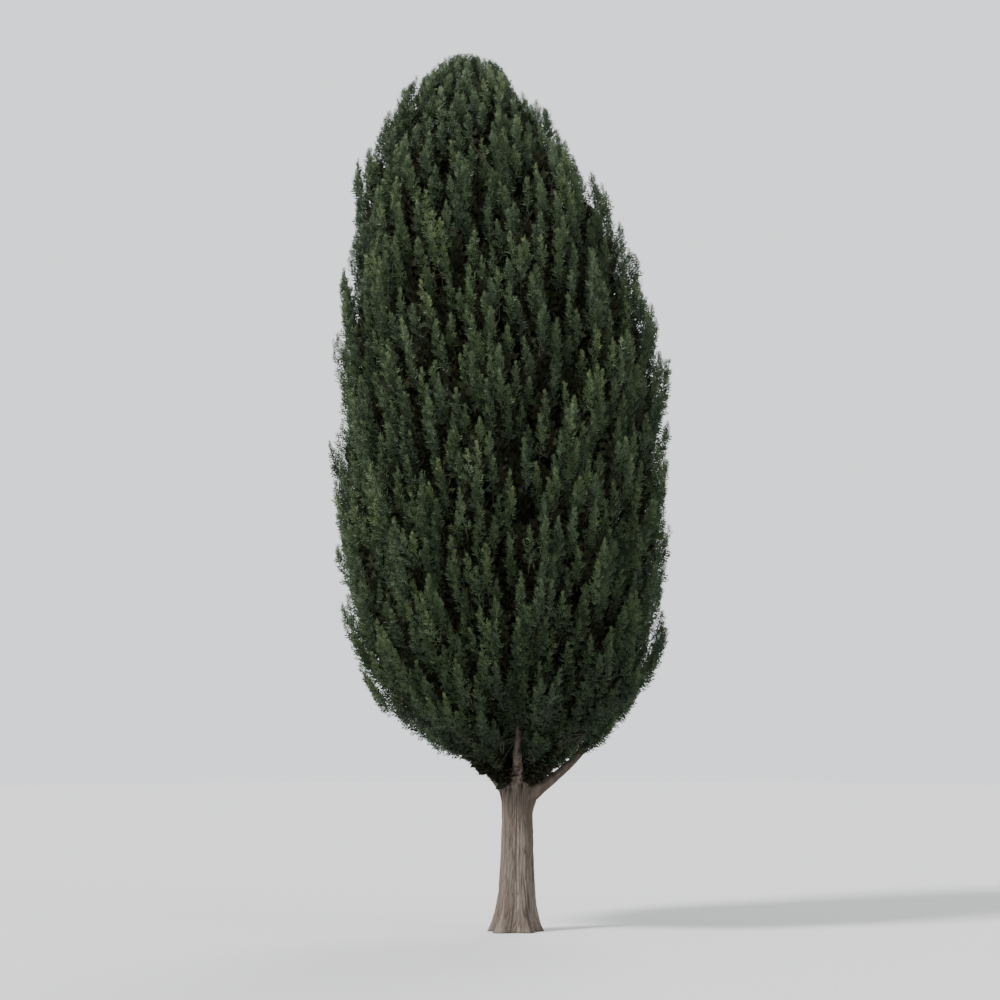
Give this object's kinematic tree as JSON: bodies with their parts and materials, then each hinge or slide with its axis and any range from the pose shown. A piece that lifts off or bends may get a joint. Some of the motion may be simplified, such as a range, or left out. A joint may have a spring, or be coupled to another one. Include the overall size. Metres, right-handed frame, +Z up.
{
  "type": "pencil cypress tree",
  "caption": "Evergreen column tree with a flame-shaped dense crown of upright sprays over a short bare trunk, cut flat at ground level.",
  "frame": {"origin": "in the flat cut under the trunk, at ground level, under the middle of the trunk's foot", "axes": "+Z up the tree, -Y towards the viewer of the picture, +X to the viewer's right"},
  "size_m": [3.8965, 3.8743, 9.9979],
  "materials": {
    "bark": "fibrous grey-brown bark in long upright strips, matt",
    "foliage": "dark green sprays of small scale leaves, slightly waxy"
  },
  "bodies": {
    "root": {"trunk": "bark", "bough_01": "bark", "bough_02": "bark", "bough_03": "bark", "bough_04": "bark", "bough_05": "bark", "bough_06": "bark", "bough_07": "bark", "bough_08": "bark", "bough_09": "bark", "bough_10": "bark", "bough_11": "bark", "bough_12": "bark", "bough_13": "bark", "bough_14": "bark", "bough_15": "bark", "bough_16": "bark", "bough_17": "bark", "bough_18": "bark", "bough_19": "bark", "bough_20": "bark", "bough_21": "bark", "bough_22": "bark", "bough_23": "bark", "bough_24": "bark", "bough_25": "bark", "bough_26": "bark", "foliage_01": "foliage", "foliage_02": "foliage", "foliage_03": "foliage", "foliage_04": "foliage", "foliage_05": "foliage", "foliage_06": "foliage", "foliage_07": "foliage", "foliage_08": "foliage", "foliage_09": "foliage", "foliage_10": "foliage", "foliage_11": "foliage", "foliage_12": "foliage", "foliage_13": "foliage", "foliage_14": "foliage", "foliage_15": "foliage", "foliage_16": "foliage", "foliage_17": "foliage", "foliage_18": "foliage", "foliage_19": "foliage", "foliage_20": "foliage", "foliage_21": "foliage", "foliage_22": "foliage", "foliage_23": "foliage", "foliage_24": "foliage", "foliage_25": "foliage", "foliage_26": "foliage", "foliage_top": "foliage"}
  },
  "joints": []
}
